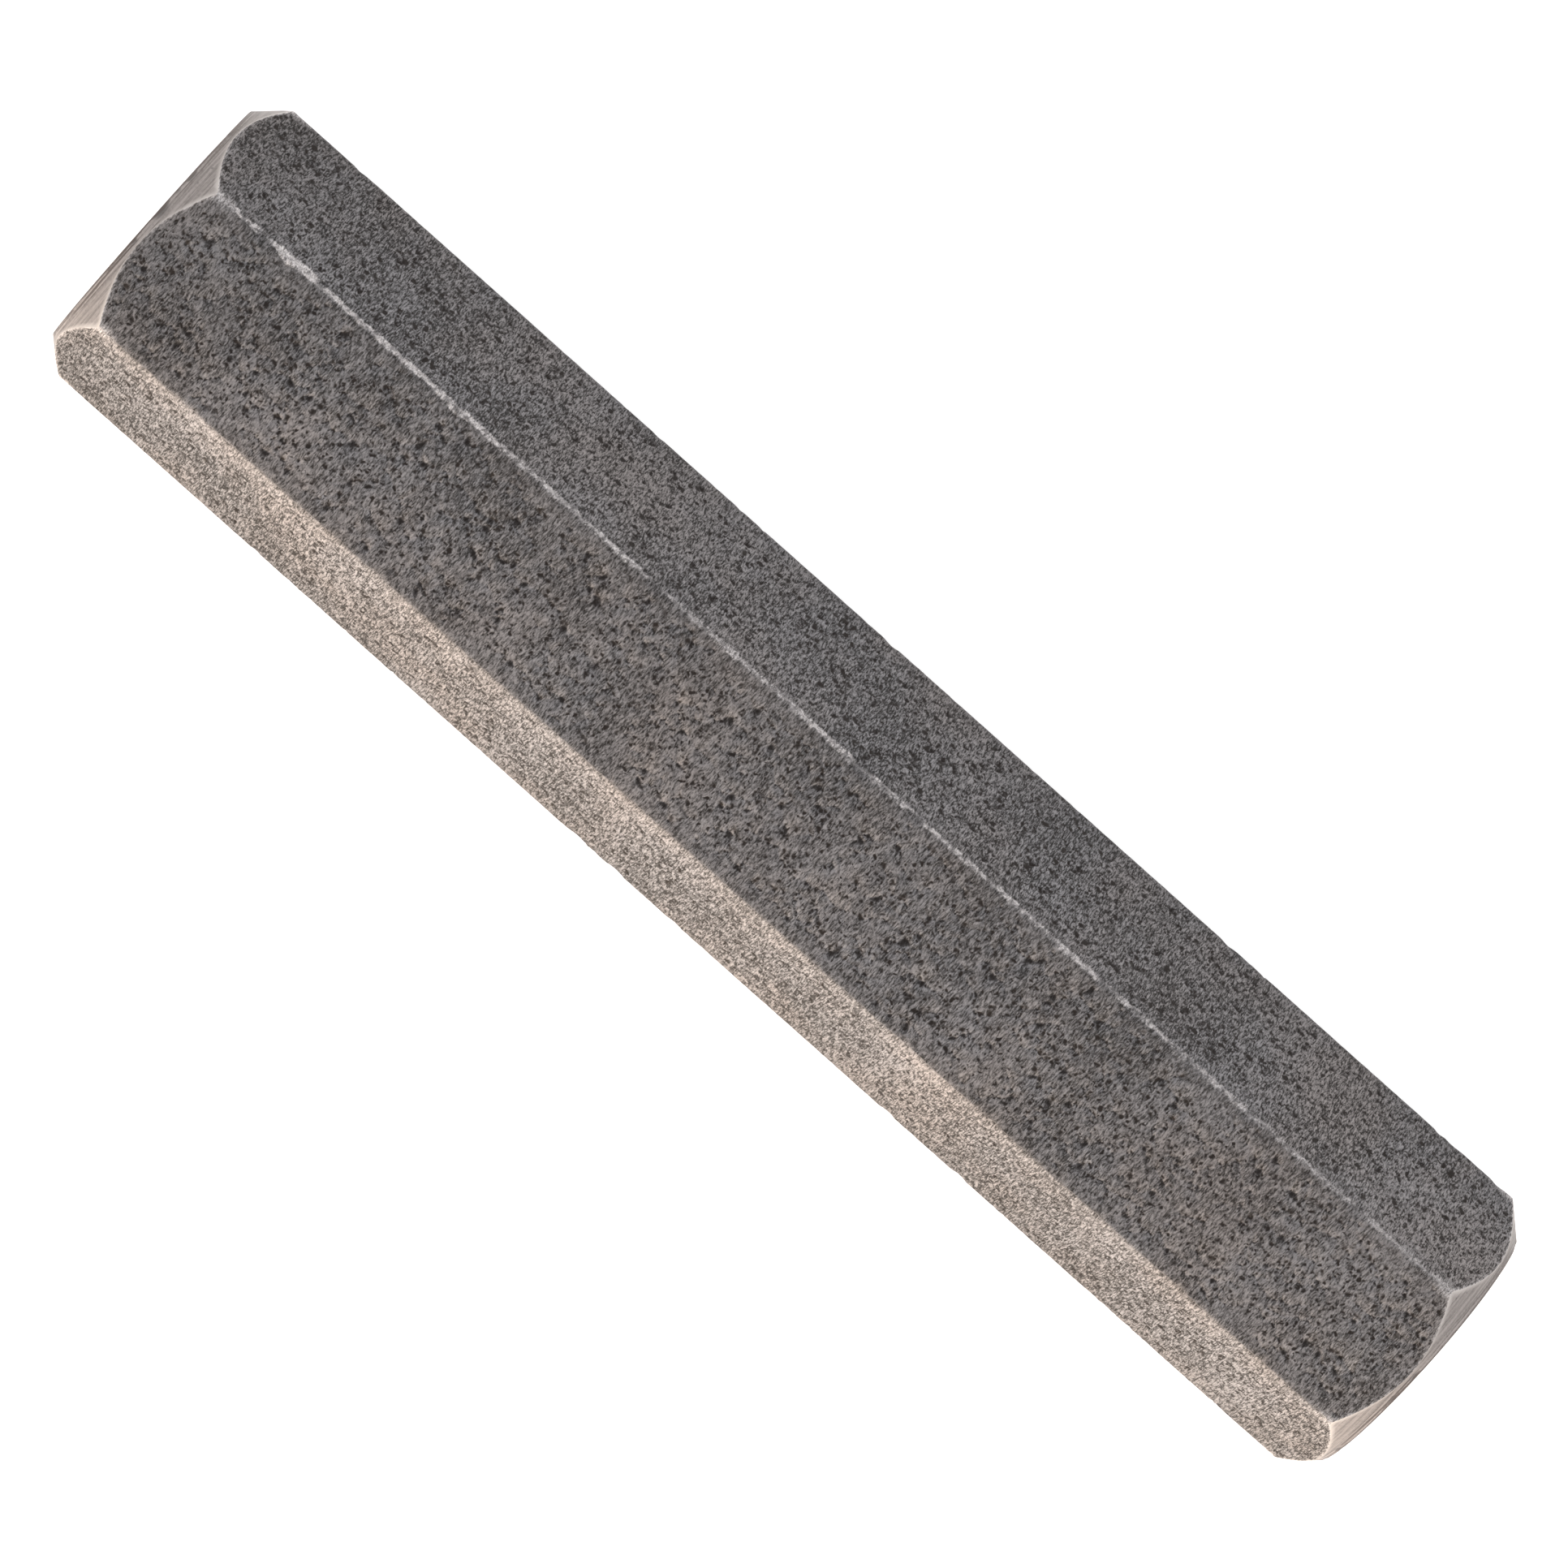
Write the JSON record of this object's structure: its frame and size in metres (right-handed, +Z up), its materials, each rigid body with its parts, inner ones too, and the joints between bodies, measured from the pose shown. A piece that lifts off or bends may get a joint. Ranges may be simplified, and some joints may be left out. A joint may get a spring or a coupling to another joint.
{
  "type": "sharpening whetstone",
  "caption": "Hexagonal bar whetstone with long flat working faces and a turned chamfer at each end, for honing carving and whittling blades by hand.",
  "frame": {"origin": "middle of the face that the bar lies on, below the middle of its length", "axes": "+X along the bar, +Z up out of the top working face, +Y across the bar"},
  "size_m": [0.12, 0.0252, 0.022],
  "materials": {
    "stone": "fine-grained open-pored matte abrasive stone, dark grey, paler where it is worn or turned"
  },
  "bodies": {
    "root": {"whetstone": "stone"}
  },
  "joints": []
}
